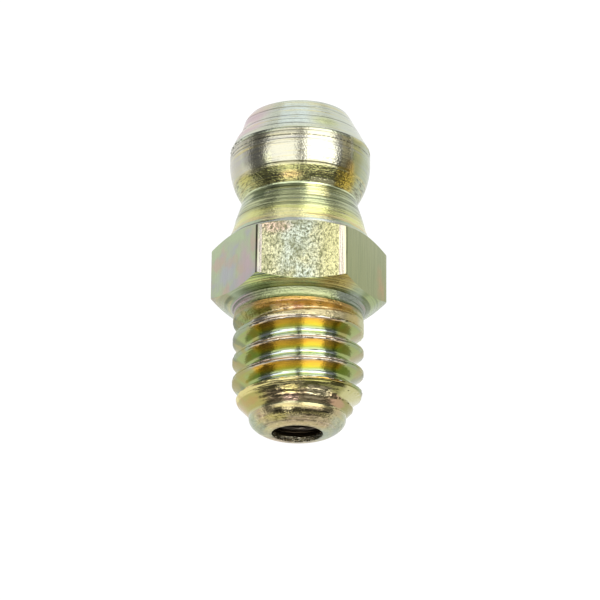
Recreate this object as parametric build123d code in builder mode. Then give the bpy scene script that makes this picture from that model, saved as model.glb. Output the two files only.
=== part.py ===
# Straight grease nipple with an M6 x 1 screw thread and a 7 mm hexagon.
#
# It lies on one flat of its hexagon, as a loose nipple comes to rest on a bench.
# The axis is Y: the coupler head points to +Y and the screw thread to -Y. The
# origin is on the axis, in the plane of the rim under the hexagon that beds on
# the greased machine. All sizes are in millimetres.

import os
from math import acos, cos, degrees, pi, radians, sin, sqrt, tan

from build123d import *

os.makedirs("parts", exist_ok=True)

# ---- Driving dimensions ----

# Screw thread, cut in a plain shank
thread_diameter = 5.96
thread_pitch = 1.0
flank_angle = 30.0  # each flank, from the plane across the axis
crest_width = 0.125  # flat left between two grooves
root_radius = 0.144
thread_run_in = 0.14  # first groove centre, above the end of the shank on the +Z side
thread_run_out = 0.65  # height over which the die leaves the work, less than a turn
thread_to_hexagon = 0.81  # last groove centre of full depth, below the bedding rim

# Shank below the hexagon
shank_length = 5.95
end_width = 1.04  # crimped end, from the outlet to the pilot
end_height = 0.71
pilot_length = 0.14
pilot_diameter = 4.4
lead_step = 0.52  # 45 degree cone on the first thread
lead_taper_length = 0.99  # slow cone from there to the full thread diameter
collar_relief = 0.05  # the collar tapers to this much under the thread, all round
collar_length = 0.24
hollow_width = 0.12  # hollow curve from the end of the collar out to the bedding rim
hollow_height = 0.36

# Hexagon, made from drawn bar
across_flats = 7.0
flat_length = 2.8  # on the middle of a flat
corner_turning_angle = 25.0  # cone that takes the corners off, from the plane across the axis
bar_corner_radius = 0.17

# Neck and coupler head
flare_diameter = 6.64
neck_diameter = 5.24
head_diameter = 6.5
head_band_start = 7.17  # the underside is a ball round this point of the axis
head_band_length = 0.54
head_top_height = 9.48
head_top_diameter = 4.56
head_edge_chamfer = 0.08

# Inlet, ball seat and bore
inlet_diameter = 1.6
inlet_land = 0.28
inlet_chamfer = 0.08
seat_angle = 45.0  # seat cone, from the axis
outlet_land = 0.25
lip_angle = 45.0  # inner side of the crimped end, from the axis

# Check ball
ball_diameter = 2.5
ball_side_clearance = 0.2
seat_clearance = 0.02

# Spring
wire_diameter = 0.3
wire_sides = 6  # the round wire's section is drawn with this many flats
spring_side_clearance = 0.1
spring_end_clearance = 0.02
active_coils = 7
end_coils = 1  # closed coils at each end

# ---- Worked-out sizes ----

thread_r = thread_diameter / 2
pilot_r = pilot_diameter / 2
outlet_r = pilot_r - end_width
inlet_r = inlet_diameter / 2
ball_r = ball_diameter / 2
wire_r = wire_diameter / 2
head_r = head_diameter / 2
neck_r = neck_diameter / 2
flare_r = flare_diameter / 2
flat_r = across_flats / 2
corner_r = flat_r / cos(radians(30))
stock_r = max(corner_r, thread_r) + 1  # clear of every outline

# Heights along the axis, from the bedding rim
shank_end = -shank_length
pilot_start = shank_end + end_height
lead_start = pilot_start + pilot_length
lead_middle = lead_start + lead_step
lead_end = lead_middle + lead_taper_length
collar_end = -hollow_height

# The hollow curve is round and leaves the collar in line with the axis
collar_r = thread_r - collar_relief
rim_r = collar_r + hollow_width
hollow_radius = (hollow_width**2 + hollow_height**2) / (2 * hollow_width)
hollow_passes_thread = collar_end + sqrt(collar_relief * (2 * hollow_radius - collar_relief))

taper_run = 3  # the cutter's path starts this many collar lengths away, in free air

# The crimped end is a slow arc and a quick one, each through 45 degrees
end_arc_angle = 45
end_arc_run = sin(radians(end_arc_angle))
end_arc_rise = 1 - end_arc_run
slow_radius = (end_width * end_arc_run - end_height * end_arc_rise) / (end_arc_run - end_arc_rise)
quick_radius = (end_height * end_arc_run - end_width * end_arc_rise) / (end_arc_run - end_arc_rise)

# Corners of the hexagon
turning_rise = tan(radians(corner_turning_angle))
flat_end = (flat_r - rim_r) * turning_rise + flat_length
hexagon_top = flat_end + (flat_r - flare_r) * turning_rise

# Where the neck meets the ball of the head
neck_angle = degrees(acos(neck_r / head_r))
neck_height = head_band_start - head_r * sin(radians(neck_angle))

# Bore, ball seat and ball: the ball rests on the middle of the seat cone
bore_r = ball_r + ball_side_clearance
seat_top = head_top_height - inlet_chamfer - inlet_land
seat_bottom = seat_top - (bore_r - inlet_r) / tan(radians(seat_angle))
seat_apex = seat_top + inlet_r / tan(radians(seat_angle))
ball_height = seat_apex - (ball_r + seat_clearance) / sin(radians(seat_angle))
lip_top = shank_end + outlet_land
bore_start = lip_top + (bore_r - outlet_r) / tan(radians(lip_angle))

# Spring: its first coil lies on the crimped lip, its last coil bears on the ball
coil_r = bore_r - spring_side_clearance - wire_r
wire_reach = wire_r + spring_end_clearance
lip_apex = lip_top - outlet_r / tan(radians(lip_angle))
spring_start = lip_apex + coil_r / tan(radians(lip_angle)) + wire_reach / sin(radians(lip_angle))
spring_end = ball_height - sqrt((ball_r + wire_reach) ** 2 - coil_r**2)
closed_pitch = wire_diameter + spring_end_clearance
open_pitch = (spring_end - spring_start - 2 * end_coils * closed_pitch) / active_coils

# Thread groove: a vee with a round root drawn in three flats
groove_overcut = 0.04  # how far the cutter stands out of the shank
full_length = shank_length - thread_run_in - thread_to_hexagon
groove_half_width = (thread_pitch - crest_width) / 2
vee_depth = groove_half_width / tan(radians(flank_angle))
root_centre_depth = vee_depth - root_radius / sin(radians(flank_angle))
root_flat_angle = (90 - flank_angle) / 3


def across(height):
    """Plane across the axis, with its x towards +Z and its normal towards the head."""
    return Plane(origin=(0, height, 0), x_dir=(0, 0, 1), z_dir=(0, 1, 0))


def groove_section(height, turn, share):
    """Section of the thread groove at `share` of its full size, `turn` turns round the axis."""
    angle = 2 * pi * turn
    plane = Plane(origin=(0, height, 0), x_dir=(0, 1, 0), z_dir=(cos(angle), 0, -sin(angle)))
    overcut_half_width = groove_half_width + groove_overcut * tan(radians(flank_angle))
    one_side = [(overcut_half_width, -groove_overcut)]
    for facet in (3, 1):
        root_angle = radians(root_flat_angle * facet)
        one_side.append((root_radius * sin(root_angle), root_centre_depth + root_radius * cos(root_angle)))
    corners = one_side + [(-x, depth) for x, depth in reversed(one_side)]
    cutter_top = thread_r + groove_overcut
    with BuildSketch(plane) as section:
        with BuildLine():
            Polyline(
                *[(share * x, cutter_top - share * (depth + groove_overcut)) for x, depth in corners],
                close=True,
            )
        make_face()
    return section.sketch


def helix_at(pitch, turns, radius, height, first_turn):
    """Right-hand helix round the axis that starts `first_turn` turns from +Z."""
    helix = Helix(
        pitch, pitch * turns, radius, center=(0, height, 0), direction=(0, 1, 0), mode=Mode.PRIVATE
    )
    return helix.rotate(Axis.Y, 360 * first_turn)


# ---- Body: one turned piece of hexagon bar ----

with BuildPart() as threaded_shank:
    # Plain bar as far as the hollow curve stays inside the thread's diameter
    with BuildSketch(across(shank_end)):
        Circle(thread_r)
    extrude(amount=hollow_passes_thread - shank_end)

    # Thread groove at full depth, from free air at the end of the shank
    groove_start = shank_end + thread_run_in
    full_turns = full_length / thread_pitch
    with BuildLine() as full_groove:
        add(helix_at(thread_pitch, full_turns, thread_r, groove_start, 0))
    sweep(
        sections=groove_section(groove_start, 0, 1),
        path=full_groove.line,
        is_frenet=True,
        mode=Mode.SUBTRACT,
    )

    # Run-out, where the groove shrinks to nothing
    run_out_start = groove_start + full_length
    run_out_turns = thread_run_out / thread_pitch
    with BuildLine() as run_out:
        add(helix_at(thread_pitch, run_out_turns, thread_r, run_out_start, full_turns))
    vanished_share = groove_overcut / (groove_overcut + vee_depth)
    sweep(
        sections=[
            groove_section(run_out_start, full_turns, 1),
            groove_section(run_out_start + thread_run_out, full_turns + run_out_turns, vanished_share),
        ],
        path=run_out.line,
        multisection=True,
        is_frenet=True,
        mode=Mode.SUBTRACT,
    )

    # Rim stock, then the shank is turned to its outline
    with BuildSketch(across(hollow_passes_thread)):
        Circle(stock_r)
    extrude(amount=-hollow_passes_thread)
    with BuildSketch(Plane.XY) as shank_outline:
        with BuildLine():
            slow_arc = JernArc((outlet_r, shank_end), (1, 0), slow_radius, end_arc_angle)
            JernArc(slow_arc @ 1, slow_arc % 1, quick_radius, end_arc_angle)
            Polyline(
                (pilot_r, pilot_start),
                (pilot_r, lead_start),
                (pilot_r + lead_step, lead_middle),
                (thread_r, lead_end),
                (stock_r, lead_end),
                (stock_r, collar_end - collar_length * taper_run),
                (collar_r + collar_relief * taper_run, collar_end - collar_length * taper_run),
                (collar_r, collar_end),
            )
            TangentArc((collar_r, collar_end), (rim_r, 0), tangent=(0, 1))
            Polyline((rim_r, 0), (0, 0), (0, shank_end), (outlet_r, shank_end))
        make_face()
    revolve(axis=Axis.Y, mode=Mode.INTERSECT)

with BuildPart() as hexagon:
    with BuildSketch(across(0)) as bar_section:
        RegularPolygon(flat_r, 6, major_radius=False, rotation=30)
        fillet(bar_section.vertices(), bar_corner_radius)
    extrude(amount=hexagon_top)
    # A cone at each end takes the corners off
    with BuildSketch(Plane.XY) as corner_outline:
        with BuildLine():
            Polyline(
                (0, 0),
                (rim_r, 0),
                (corner_r, (corner_r - rim_r) * turning_rise),
                (corner_r, hexagon_top - (corner_r - flare_r) * turning_rise),
                (flare_r, hexagon_top),
                (0, hexagon_top),
                close=True,
            )
        make_face()
    revolve(axis=Axis.Y, mode=Mode.INTERSECT)

with BuildPart() as nipple_body:
    add(threaded_shank.part)
    add(hexagon.part)

    # Flared neck and coupler head
    with BuildSketch(Plane.XY) as head_outline:
        with BuildLine():
            Polyline((0, hexagon_top), (flare_r, hexagon_top), (neck_r, neck_height))
            CenterArc((0, head_band_start), head_r, start_angle=-neck_angle, arc_size=neck_angle)
            Polyline(
                (head_r, head_band_start),
                (head_r, head_band_start + head_band_length),
                (head_top_diameter / 2, head_top_height),
                (0, head_top_height),
                (0, hexagon_top),
            )
        make_face()
        chamfer(head_outline.vertices().group_by(Axis.Y)[-1].sort_by(Axis.X)[-1], head_edge_chamfer)
    revolve(axis=Axis.Y)

    # Outlet, bore, ball seat and inlet, right through
    with BuildSketch(Plane.XY) as bore_outline:
        with BuildLine():
            Polyline(
                (0, shank_end),
                (outlet_r, shank_end),
                (outlet_r, lip_top),
                (bore_r, bore_start),
                (bore_r, seat_bottom),
                (inlet_r, seat_top),
                (inlet_r, head_top_height - inlet_chamfer),
                (inlet_r + inlet_chamfer, head_top_height),
                (0, head_top_height),
                close=True,
            )
        make_face()
    revolve(axis=Axis.Y, mode=Mode.SUBTRACT)

nipple_body.part.label = "nipple_body"
export_step(nipple_body.part, "parts/nipple_body.step")

# ---- Check ball, held on its seat by the spring ----

with BuildPart() as check_ball:
    with Locations((0, ball_height, 0)):
        Sphere(ball_r)

check_ball.part.label = "check_ball"
export_step(check_ball.part, "parts/check_ball.step")

# ---- Spring, with closed end coils ----

with BuildPart() as ball_spring:
    with BuildLine() as wire_path:
        height = spring_start
        turn = 0
        for pitch, coils in (
            (closed_pitch, end_coils),
            (open_pitch, active_coils),
            (closed_pitch, end_coils),
        ):
            add(helix_at(pitch, coils, coil_r, height, turn))
            height += pitch * coils
            turn += coils
    with BuildSketch(Plane(origin=wire_path.line @ 0, z_dir=wire_path.line % 0)):
        RegularPolygon(wire_r, wire_sides)
    sweep(path=wire_path.line, is_frenet=True)

ball_spring.part.label = "ball_spring"
export_step(ball_spring.part, "parts/ball_spring.step")
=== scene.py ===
import math

import bpy
import numpy as np
from mathutils import Matrix, Vector, noise


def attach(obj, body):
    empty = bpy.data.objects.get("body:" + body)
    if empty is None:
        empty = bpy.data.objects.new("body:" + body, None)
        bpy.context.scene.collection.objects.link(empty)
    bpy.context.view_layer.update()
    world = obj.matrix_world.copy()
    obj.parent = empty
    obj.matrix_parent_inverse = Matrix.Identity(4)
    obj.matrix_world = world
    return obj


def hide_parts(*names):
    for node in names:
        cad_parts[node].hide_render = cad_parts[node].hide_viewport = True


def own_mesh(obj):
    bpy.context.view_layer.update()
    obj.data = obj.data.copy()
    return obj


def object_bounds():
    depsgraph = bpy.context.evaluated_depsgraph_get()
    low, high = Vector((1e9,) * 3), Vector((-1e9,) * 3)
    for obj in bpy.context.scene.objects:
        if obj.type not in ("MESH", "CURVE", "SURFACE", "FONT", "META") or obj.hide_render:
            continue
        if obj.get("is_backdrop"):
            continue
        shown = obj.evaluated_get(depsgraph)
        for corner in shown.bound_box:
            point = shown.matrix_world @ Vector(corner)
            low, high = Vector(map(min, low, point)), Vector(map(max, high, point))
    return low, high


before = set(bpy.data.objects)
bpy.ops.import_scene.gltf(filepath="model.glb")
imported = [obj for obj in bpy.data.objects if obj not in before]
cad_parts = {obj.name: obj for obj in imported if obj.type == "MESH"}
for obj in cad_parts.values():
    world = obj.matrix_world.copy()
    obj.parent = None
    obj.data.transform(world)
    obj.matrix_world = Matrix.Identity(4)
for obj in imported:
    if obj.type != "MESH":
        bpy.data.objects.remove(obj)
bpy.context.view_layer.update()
print("Frame loaded:", ", ".join(sorted(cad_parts)))

mm = 0.001
columns = 192  # vertices round every turned form, so that neighbours share them
weldGap = 0.0004 * mm
grainSpan = (0.3, 0.7)  # nearly all of a grain's values lie between these


# The nipple is zinc plated and yellow passivated: the thin clear film over the zinc shows
# interference colours, which drift from silver and straw to gold, rose, lilac and green.

def linearColour(code):  # an sRGB hex colour turned linear
    parts = [int(code[i:i + 2], 16) / 255 for i in (0, 2, 4)]
    return [c / 12.92 if c <= 0.04045 else ((c + 0.055) / 1.055) ** 2.4 for c in parts] + [1]


def addNode(material, kind, inputs=None, **settings):
    # adds a node, gives it its settings, and sets or links each of its inputs
    tree = material.node_tree
    node = tree.nodes.new("ShaderNode" + kind)
    for setting, value in settings.items():
        setattr(node, setting, value)
    for socket, value in (inputs or {}).items():
        if isinstance(value, bpy.types.NodeSocket):
            tree.links.new(value, node.inputs[socket])
        else:
            node.inputs[socket].default_value = value
    return node


def newMaterial(name):
    material = bpy.data.materials.new(name)
    material.use_nodes = True
    material.node_tree.nodes.clear()
    return material


def readFields(material, recipe):
    # what a finish can follow, in mm: the height along the axis, the distance from it, the way
    # round to the side (-1 left, 0 front, 1 right), the way the face looks along the axis,
    # the place across one flat of the hexagon, the recipe's grains, and nearness to its stains
    texture = addNode(material, "TexCoord").outputs
    metres = {0: texture["Object"], "Scale": 1 / mm}
    place = addNode(material, "VectorMath", metres, operation="SCALE").outputs[0]
    x, y, z = addNode(material, "SeparateXYZ", {0: place}).outputs
    level = addNode(material, "CombineXYZ", {0: x, 2: z}).outputs[0]
    radius = addNode(material, "VectorMath", {0: level}, operation="LENGTH").outputs["Value"]
    side = addNode(material, "Math", {0: x, 1: radius}, operation="DIVIDE").outputs[0]
    upward = addNode(material, "SeparateXYZ", {0: texture["Normal"]}).outputs[1]
    angle = addNode(material, "Math", {0: x, 1: z}, operation="ARCTAN2").outputs[0]
    halfFlat = math.pi / 6
    ownAngle = addNode(material, "Math", {0: angle, 1: halfFlat, 2: -halfFlat}, operation="WRAP").outputs[0]
    turned = addNode(material, "Math", {0: ownAngle}, operation="SINE").outputs[0]
    across = addNode(material, "Math", {0: turned, 1: radius}, operation="MULTIPLY").outputs[0]
    fields = {"height": y, "radius": radius, "side": side, "upward": upward, "across": across, "depth": z}
    for name, (size, detail, roughness) in recipe["grains"].items():
        sized = addNode(material, "VectorMath", {0: place, 1: size}, operation="DIVIDE").outputs[0]
        inputs = {"Vector": sized, "Scale": 1, "Detail": detail, "Roughness": roughness}
        fields[name] = addNode(material, "TexNoise", inputs).outputs[0]
    for name, (middle, reach) in recipe.get("stains", {}).items():
        offset = addNode(material, "VectorMath", {0: place, 1: middle}, operation="SUBTRACT").outputs[0]
        sized = addNode(material, "VectorMath", {0: offset, 1: reach}, operation="DIVIDE").outputs[0]
        fields[name] = addNode(material, "VectorMath", {0: sized}, operation="LENGTH").outputs["Value"]
    for name, (field, grain, sway) in recipe.get("wavers", {}).items():
        low, high = grainSpan
        waver = {"Value": fields[grain], "From Min": low, "From Max": high, "To Min": -sway, "To Max": sway}
        swayed = addNode(material, "MapRange", waver).outputs[0]
        fields[name] = addNode(material, "Math", {0: fields[field], 1: swayed}, operation="ADD").outputs[0]
    return fields


def shareOf(material, fields, share, where):
    # a share, kept where each field has gone from the first limit to the second, and from a third
    # to a fourth: a second limit under the first is a fall
    amount = share
    for field, limits in where.items():
        for low, high in zip(limits[::2], limits[1::2]):
            risen = {"Value": fields[field], "From Min": low, "From Max": high}
            reach = addNode(material, "MapRange", risen, interpolation_type="SMOOTHSTEP").outputs[0]
            amount = addNode(material, "Math", {0: reach, 1: amount}, operation="MULTIPLY").outputs[0]
    return amount


def makeFinish(name, recipe):
    # colour, roughness and relief in layers, each laid over those before it
    material = newMaterial(name)
    fields = readFields(material, recipe)
    colour = linearColour(recipe["base"])
    for code, share, where in recipe["layers"]:
        amount = shareOf(material, fields, share, where)
        mixed = {0: amount, 6: colour, 7: linearColour(code)}
        colour = addNode(material, "Mix", mixed, data_type="RGBA").outputs[2]
    inputs = {"Base Color": colour, "Metallic": 1, "Roughness": recipe["roughness"]}
    for share, where in recipe.get("duller", ()):
        amount = shareOf(material, fields, share, where)
        rougher = {0: inputs["Roughness"], 1: amount}
        inputs["Roughness"] = addNode(material, "Math", rougher, operation="ADD").outputs[0]
    for rise, where in recipe["relief"]:
        bump = {"Height": shareOf(material, fields, 1.0, where), "Distance": rise * mm, "Strength": 1}
        if "Normal" in inputs:
            bump["Normal"] = inputs["Normal"]
        inputs["Normal"] = addNode(material, "Bump", bump).outputs[0]
    shader = addNode(material, "BsdfPrincipled", inputs)
    addNode(material, "OutputMaterial", {"Surface": shader.outputs[0]})
    return material


# Turned surfaces: the lathe's feed of 0.14 mm leaves a fine ring at each turn, which smears
# reflections along the axis, and the bath etches the crystals of the zinc to a fine speckle.
# The speckle is some 0.02 mm across in the metal and is drawn at 0.09 mm, so that it shows.
turnedPlate = {
    "grains": {  # size in mm along x, y and z, detail, roughness
        "rings": ((30, 0.14, 30), 4.0, 0.6), "fineRings": ((12, 0.05, 12), 2.0, 0.5),
        "speckle": ((0.09, 0.07, 0.09), 1.0, 0.5), "cuts": ((9, 0.1, 9), 2.0, 0.5),
        "clouds": ((1.8, 0.9, 1.8), 2.0, 0.5), "streaks": ((4, 0.13, 4), 4.0, 0.6),
        "faceRings": ((25, 0.045, 25), 3.0, 0.6), "neckRings": ((8, 0.09, 8), 4.0, 0.6),
        "specks": ((0.3, 0.05, 0.3), 3.0, 0.6), "dirt": ((0.22, 0.16, 0.22), 3.0, 0.7),
    },
    "wavers": {"level": ("height", "clouds", 0.1)},
    "stains": {  # middle and half size in mm
        "goldLeft": ((-0.5, 5.55, 2.76), (0.5, 0.16, 0.6)),
        "goldRight": ((2.1, 5.65, 2.0), (0.4, 0.4, 0.5)),
        "goldHigh": ((2.2, 6.2, 2.15), (0.22, 0.35, 0.4)),
        "yellowLeft": ((-2.6, 5.75, 1.3), (0.4, 0.22, 0.5)),
        "yellowCone": ((1.1, 8.2, 2.75), (0.6, 0.3, 0.6)),
        "yellowDome": ((-1.0, -5.7, 1.7), (0.5, 0.14, 0.5)),
    },
    "base": "C3C9B8",
    "layers": [  # colour, share, and where
        # down the head, the neck and the flare
        ("B6BEA0", 1, {"level": (7.75, 7.7)}),
        ("B4B29C", 1, {"level": (7.7, 7.6)}),
        ("C4C2AE", 1, {"height": (7.37, 7.33)}),
        ("B0AC88", 1, {"level": (6.2, 6.0)}),
        ("9C9C68", 1, {"level": (6.0, 5.88)}),
        ("A6AE84", 1, {"level": (5.3, 5.2)}),
        ("B0B68C", 1, {"level": (4.9, 4.5)}),
        ("CFD088", 1, {"level": (4.2, 3.8)}),
        ("C8BC84", 1, {"level": (3.6, 3.5)}),
        ("AAB89A", 1, {"level": (3.42, 3.34)}),
        ("B6BCB4", 1, {"level": (3.26, 3.2)}),
        # a painted highlight on the flare's foot, left of the front
        ("E8E4A8", 0.9, {"level": (3.85, 3.7, 3.2, 3.3), "side": (-0.62, -0.4, 0.12, 0.0)}),
        ("DCD0A0", 0.8, {"height": (3.36, 3.33, 3.25, 3.28), "side": (-0.6, -0.5, 0.5, 0.4)}),
        # the cone under the hexagon
        ("A4AE78", 1, {"height": (3.0, 2.9)}),
        ("AABA7C", 1, {"height": (0.6, 0.2)}),
        ("5E7040", 0.85, {"height": (0.8, 0.7), "faceRings": (0.5, 0.4)}),
        ("D0D884", 0.7, {"height": (0.8, 0.7), "faceRings": (0.55, 0.63)}),
        ("A08848", 0.8, {"height": (0.8, 0.7, -0.1, 0.1), "side": (0.1, 0.4, 0.8, 0.6)}),
        # painted shade: the cone's sides are darkened where they would mirror the nipple's shadow on the
        # floor, most near the outline
        ("8C8C80", 0.6, {"height": (0.8, 0.7), "side": (-0.6, -0.8)}),
        ("86946A", 0.6, {"height": (0.8, 0.7), "side": (0.7, 0.85)}),
        ("9A9A74", 0.8, {"height": (0.8, 0.7), "side": (-0.85, -0.96)}),
        ("5C6844", 0.5, {"height": (0.8, 0.7), "side": (0.66, 0.74, 0.93, 0.87)}),
        # painted shade on the sides of the cone's foot
        ("3E4C26", 0.7, {"height": (-0.03, 0.01, 0.13, 0.09), "side": (0.35, 0.5)}),
        ("3E4C26", 0.7, {"height": (-0.03, 0.01, 0.18, 0.13), "side": (-0.35, -0.5)}),
        # a painted highlight on the front of the cone's foot
        ("C4D094", 0.8, {"height": (0.3, 0.22, -0.03, 0.04), "side": (-0.4, -0.15, 0.25, 0.0)}),
        ("B0A49C", 0.6, {"height": (0.8, 0.7, 0.2, 0.5), "side": (-0.7, -0.9)}),
        ("A09A90", 0.7, {"height": (0.8, 0.7, 0.2, 0.5), "side": (0.8, 0.95)}),
        # the crimped end, with the ragged lip of its outlet
        ("B3A67C", 1, {"height": (-4.9, -5.1)}),
        ("B49A80", 0.6, {"height": (-5.2, -5.3), "clouds": (0.5, 0.65)}),
        ("A8B08C", 0.7, {"height": (-5.2, -5.3), "side": (-0.8, -0.95)}),
        ("A8B08C", 0.7, {"height": (-5.2, -5.3), "side": (0.8, 0.95)}),
        ("8E8250", 0.5, {"height": (-5.6, -5.65, -5.95, -5.8), "specks": (0.5, 0.4)}),
        ("B8AC58", 0.7, {"yellowDome": (1.5, 0.4)}),
        ("6A604A", 0.6, {"height": (-5.87, -5.85, -5.82, -5.84), "streaks": (0.4, 0.5)}),
        ("2E2818", 0.9, {"level": (-5.45, -5.48, -5.68, -5.63), "side": (-0.58, -0.5, -0.33, -0.38),
            "streaks": (0.4, 0.5)}),
        ("5E5836", 0.7, {"height": (-5.4, -5.5), "dirt": (0.44, 0.36)}),
        ("E4D4A4", 0.6, {"height": (-5.4, -5.5), "dirt": (0.56, 0.64)}),
        ("443C28", 0.6, {"height": (-5.6, -5.65), "radius": (1.32, 1.22), "dirt": (0.58, 0.46)}),
        ("E8E0C4", 0.8, {"height": (-5.6, -5.65), "radius": (1.2, 1.17), "dirt": (0.52, 0.58)}),
        # painted shade: the crimped end darkened along its outline
        ("8C8C6C", 0.6, {"height": (-5.2, -5.3), "side": (-0.96, -0.99)}),
        ("8C8C6C", 0.6, {"height": (-5.2, -5.3), "side": (0.96, 0.99)}),
        ("2E2818", 0.9, {"level": (-5.45, -5.48, -5.68, -5.63), "side": (-0.18, -0.12, 0.72, 0.6),
            "speckle": (0.35, 0.42)}),
        # round the sides of the head
        ("C6AEB2", 0.9, {"side": (-0.45, -0.8), "height": (7.75, 8.1, 9.475, 9.44), "clouds": (0.3, 0.5)}),
        ("C9D6D2", 0.7, {"side": (-0.4, -0.3, 0.2, 0.0), "height": (7.75, 8.1, 9.475, 9.44),
            "clouds": (0.35, 0.55)}),
        ("A9B89A", 0.6, {"side": (-0.7, -0.95), "height": (7.9, 7.4), "clouds": (0.6, 0.4)}),
        ("A8B4A0", 0.6, {"side": (0.5, 0.85), "clouds": (0.6, 0.35)}),
        # a painted highlight, lightening the band's right side beyond its reflected softbox
        ("DCD4A4", 0.9, {"side": (0.54, 0.6, 0.72, 0.67), "level": (7.7, 7.6, 5.9, 6.1)}),
        ("D8C058", 0.8, {"side": (0.5, 0.58), "level": (6.2, 6.0, 5.2, 5.3)}),
        ("8F905E", 0.9, {"side": (0.68, 0.75), "level": (7.9, 7.6, 5.2, 5.6)}),
        # a painted reflection, lightening the far left of the ball's foot
        ("C8D0A0", 0.6, {"height": (5.9, 5.8, 5.0, 5.2), "side": (-0.8, -0.88)}),
        # a painted highlight, widening the lower left corner of the band's reflected softbox
        ("D8D8B4", 0.8, {"side": (-0.6, -0.54, -0.42, -0.47), "level": (6.7, 6.5, 5.98, 6.05)}),
        ("A7B095", 0.9, {"side": (0.8, 0.92), "level": (7.9, 7.6, 4.6, 5.0)}),
        # painted shade: a dark strip down the left of the band
        ("A09E8E", 0.9, {"side": (-0.86, -0.8, -0.68, -0.74), "level": (7.75, 7.6, 6.1, 6.4)}),
        ("B9B6A6", 0.9, {"side": (-0.82, -0.9), "level": (7.9, 7.7, 5.9, 6.3)}),
        # streaks and stains of the bath
        ("D2C480", 0.5, {"streaks": (0.52, 0.7)}),
        ("A6A4B0", 0.4, {"streaks": (0.46, 0.3)}),
        ("C6CE90", 0.7, {"yellowCone": (1.6, 0.2)}),
        ("D6B478", 0.6, {"goldLeft": (1.6, 0.2)}),
        ("D0B448", 0.8, {"goldRight": (1.6, 0.3)}),
        ("D8B050", 0.6, {"goldHigh": (1.6, 0.3)}),
        ("C8BC60", 0.6, {"yellowLeft": (1.8, 0.2)}),
        # cuts, flecks, the dark line over the ball, and a painted highlight line lower on the ball
        ("5A5A48", 0.7, {"cuts": (0.64, 0.7)}),
        ("E6DCD0", 0.7, {"specks": (0.6, 0.68), "height": (6.3, 6.5, 7.7, 7.6),
            "side": (-0.85, -0.75, -0.5, -0.6)}),
        ("3E3C30", 0.8, {"height": (7.29, 7.32, 7.37, 7.35), "speckle": (0.4, 0.48)}),
        ("4A4626", 0.6, {"height": (6.05, 5.98), "level": (5.2, 5.3), "specks": (0.5, 0.42)}),
        # a painted highlight: a bright line along the foot of the band's reflected softbox
        ("D8D6A0", 0.6, {"height": (6.02, 5.98, 5.93, 5.96), "streaks": (0.45, 0.5),
            "side": (-0.75, -0.65, 0.75, 0.65)}),
        # rings of the neck and the flare, with painted highlights and painted shade on the neck and the
        # ball's foot, and a painted highlight on the crimped end
        # real rings, darkened on the neck's left by painted shade
        ("343C1E", 0.9, {"level": (4.4, 4.7), "height": (5.2, 5.16), "neckRings": (0.54, 0.44),
            "side": (-0.9, -0.78, 0.12, 0.02)}),
        # a painted highlight on the right of the neck
        ("E8E4A8", 0.95, {"level": (4.4, 4.6), "height": (5.2, 5.16), "side": (0.04, 0.16, 0.5, 0.4)}),
        # a painted highlight on the right of the ball's foot
        ("ECE8B4", 0.95, {"height": (5.5, 5.42, 5.2, 5.25), "side": (0.1, 0.2, 0.6, 0.5)}),
        # painted shade: a dark line just over the painted highlight at the foot of the band's reflection
        ("565434", 0.8, {"height": (6.14, 6.11, 6.04, 6.07), "side": (-0.6, -0.5, 0.6, 0.5),
            "streaks": (0.62, 0.48)}),
        # a painted highlight along the neck's rounding
        ("D6E0B8", 0.9, {"height": (5.16, 5.2, 5.27, 5.24)}),
        # painted shade on the left of the neck
        ("3C4828", 0.8, {"level": (4.5, 4.65), "height": (5.05, 5.0), "side": (-0.84, -0.76, -0.56, -0.64)}),
        # a painted highlight on the left of the crimped end
        ("DCCC9C", 0.8, {"height": (-5.15, -5.22, -5.56, -5.5), "side": (-0.82, -0.74, -0.48, -0.55)}),
        ("4E5A34", 0.7, {"level": (3.9, 4.1), "height": (5.2, 5.16), "neckRings": (0.48, 0.42)}),
        ("C8D2B4", 0.5, {"level": (3.6, 4.2), "height": (5.2, 5.16), "neckRings": (0.58, 0.66)}),
        # dark turned lines of the head
        ("4A4A3C", 0.7, {"height": (9.00, 9.02, 9.05, 9.03), "clouds": (0.4, 0.5)}),
        ("4A4A3C", 0.7, {"height": (8.45, 8.47, 8.51, 8.49)}),
        ("4A4A3C", 0.8, {"height": (7.67, 7.69, 7.73, 7.71), "streaks": (0.4, 0.5), "side": (0.75, 0.55)}),
    ],
    "roughness": 0.15,
    "duller": [(0.12, {"speckle": (0.5, 0.8)}), (0.15, {"height": (-5.6, -5.75)})],
    "relief": [  # rise in mm, and where
        (0.004, {"rings": (0.3, 0.7)}), (0.006, {"rings": (0.3, 0.7), "height": (5.4, 5.1)}),
        (0.001, {"fineRings": (0.3, 0.7)}),
        (0.010, {"faceRings": (0.3, 0.7), "height": (0.9, 0.7, -0.6, -0.4)}),
        (0.010, {"speckle": (0.3, 0.7), "height": (-5.5, -5.65)}),
        (0.003, {"cuts": (0.72, 0.62)}), (0.003, {"speckle": (0.3, 0.7)}),
        (0.004, {"speckle": (0.3, 0.7), "height": (6.05, 5.95, 5.2, 5.3)}),
    ],
}

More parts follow.
